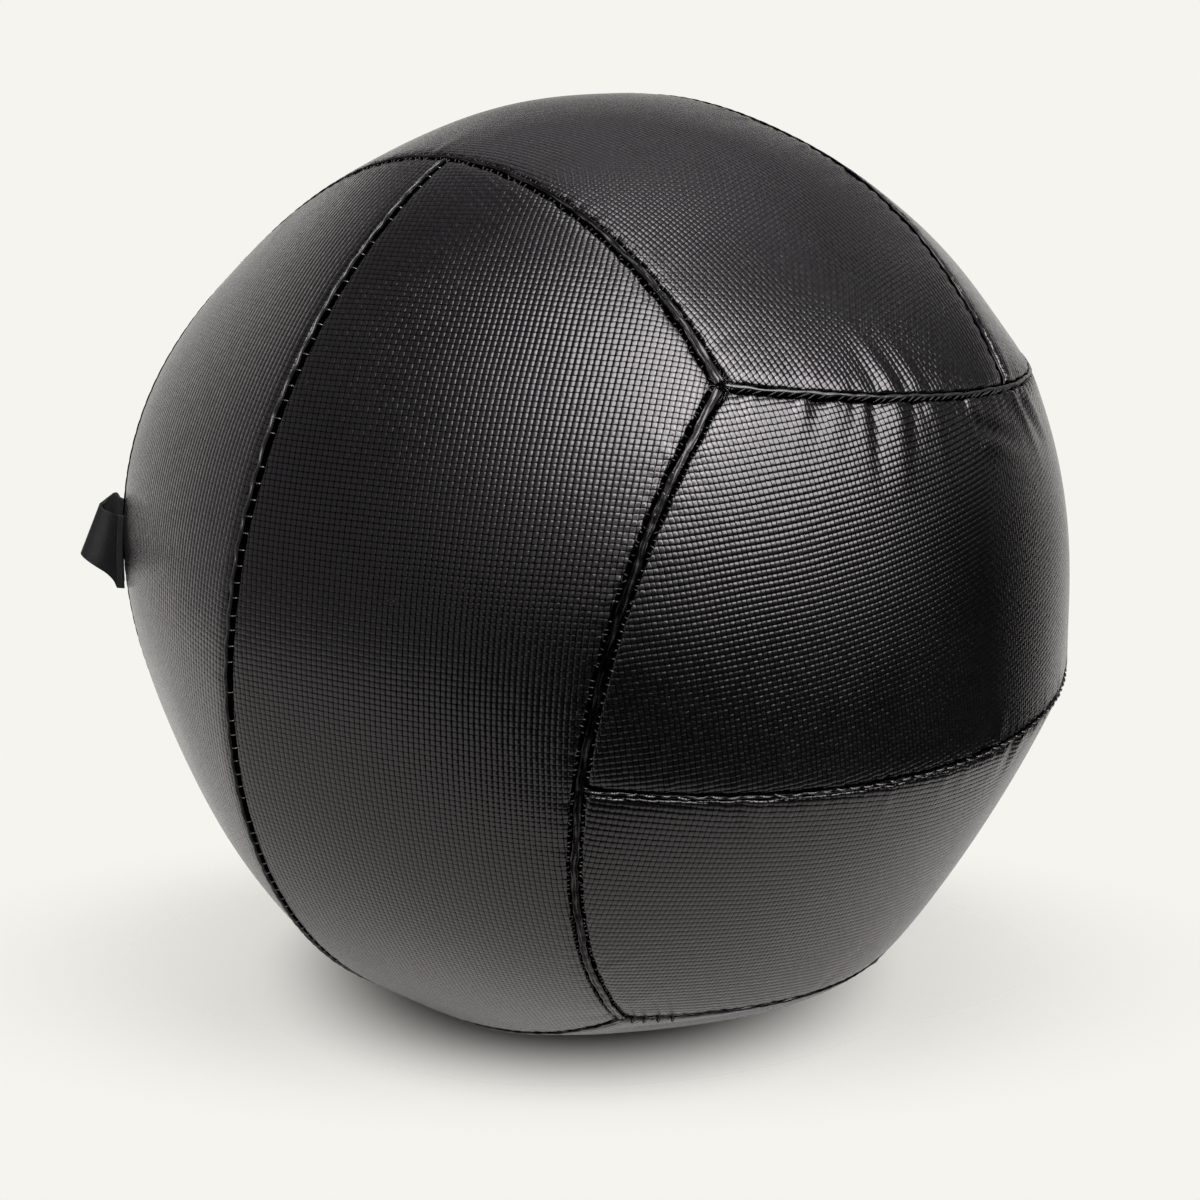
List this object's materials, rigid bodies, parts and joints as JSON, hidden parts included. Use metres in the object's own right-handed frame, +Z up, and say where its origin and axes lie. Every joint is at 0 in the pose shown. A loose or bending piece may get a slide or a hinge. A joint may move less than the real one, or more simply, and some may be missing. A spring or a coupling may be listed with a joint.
{
  "type": "wall ball",
  "caption": "Large soft weighted exercise ball with a sewn coated-fabric cover, padded filling, a weight bag at its centre and a webbing hang loop.",
  "frame": {"origin": "on the floor, at the middle of the flat patch that the ball rests on, straight under the ball's centre", "axes": "+Z up; +Y away from the side that the picture looks at; +X to the picture's right, so the hang loop is at -X"},
  "size_m": [0.3729, 0.3608, 0.3532],
  "materials": {
    "coated_cover": "black plastic-coated woven fabric, half gloss",
    "folded_welt": "the same coated fabric, folded, half gloss",
    "foam": "grey soft foam, matt",
    "wadding": "packed textile fibre, matt",
    "canvas": "plain canvas, matt",
    "iron_sand": "packed iron sand, dull",
    "cord": "twisted cord, matt",
    "webbing": "black woven webbing, matt"
  },
  "bodies": {
    "ball": {"panel_left_inner": "coated_cover", "panel_left_outer": "coated_cover", "panel_right_upper": "coated_cover", "panel_right_lower": "coated_cover", "panel_top_front": "coated_cover", "panel_top_rear": "coated_cover", "panel_back_right_outer": "coated_cover", "panel_back_right_inner": "coated_cover", "panel_back_left_upper": "coated_cover", "panel_back_left_lower": "coated_cover", "panel_bottom_front": "coated_cover", "panel_bottom_rear": "coated_cover", "welt_left_middle": "folded_welt", "welt_right_middle": "folded_welt", "welt_top_middle": "folded_welt", "welt_back_right_middle": "folded_welt", "welt_back_left_middle": "folded_welt", "welt_bottom_middle": "folded_welt", "welt_left_right": "folded_welt", "welt_left_back_left": "folded_welt", "welt_right_top": "folded_welt", "welt_right_bottom": "folded_welt", "welt_top_left": "folded_welt", "welt_top_back_right": "folded_welt", "welt_back_right_right": "folded_welt", "welt_back_right_back_left": "folded_welt", "welt_back_left_top": "folded_welt", "welt_back_left_bottom": "folded_welt", "welt_bottom_left": "folded_welt", "welt_bottom_back_right": "folded_welt", "foam_layer_upper": "foam", "foam_layer_lower": "foam", "wadding_upper": "wadding", "wadding_lower": "wadding", "weight_bag": "canvas", "weight_fill": "iron_sand", "weight_bag_tie": "cord"},
    "hang_loop": {"hang_loop": "webbing"}
  },
  "joints": [
    {"name": "loop_flop", "type": "hinge", "parent": "ball", "child": "hang_loop", "pos_m": [-0.17476, -0.04935, 0.19646], "axis": [0.1262, 0.0343, 0.9914], "range_deg": [-60, 60]}
  ]
}
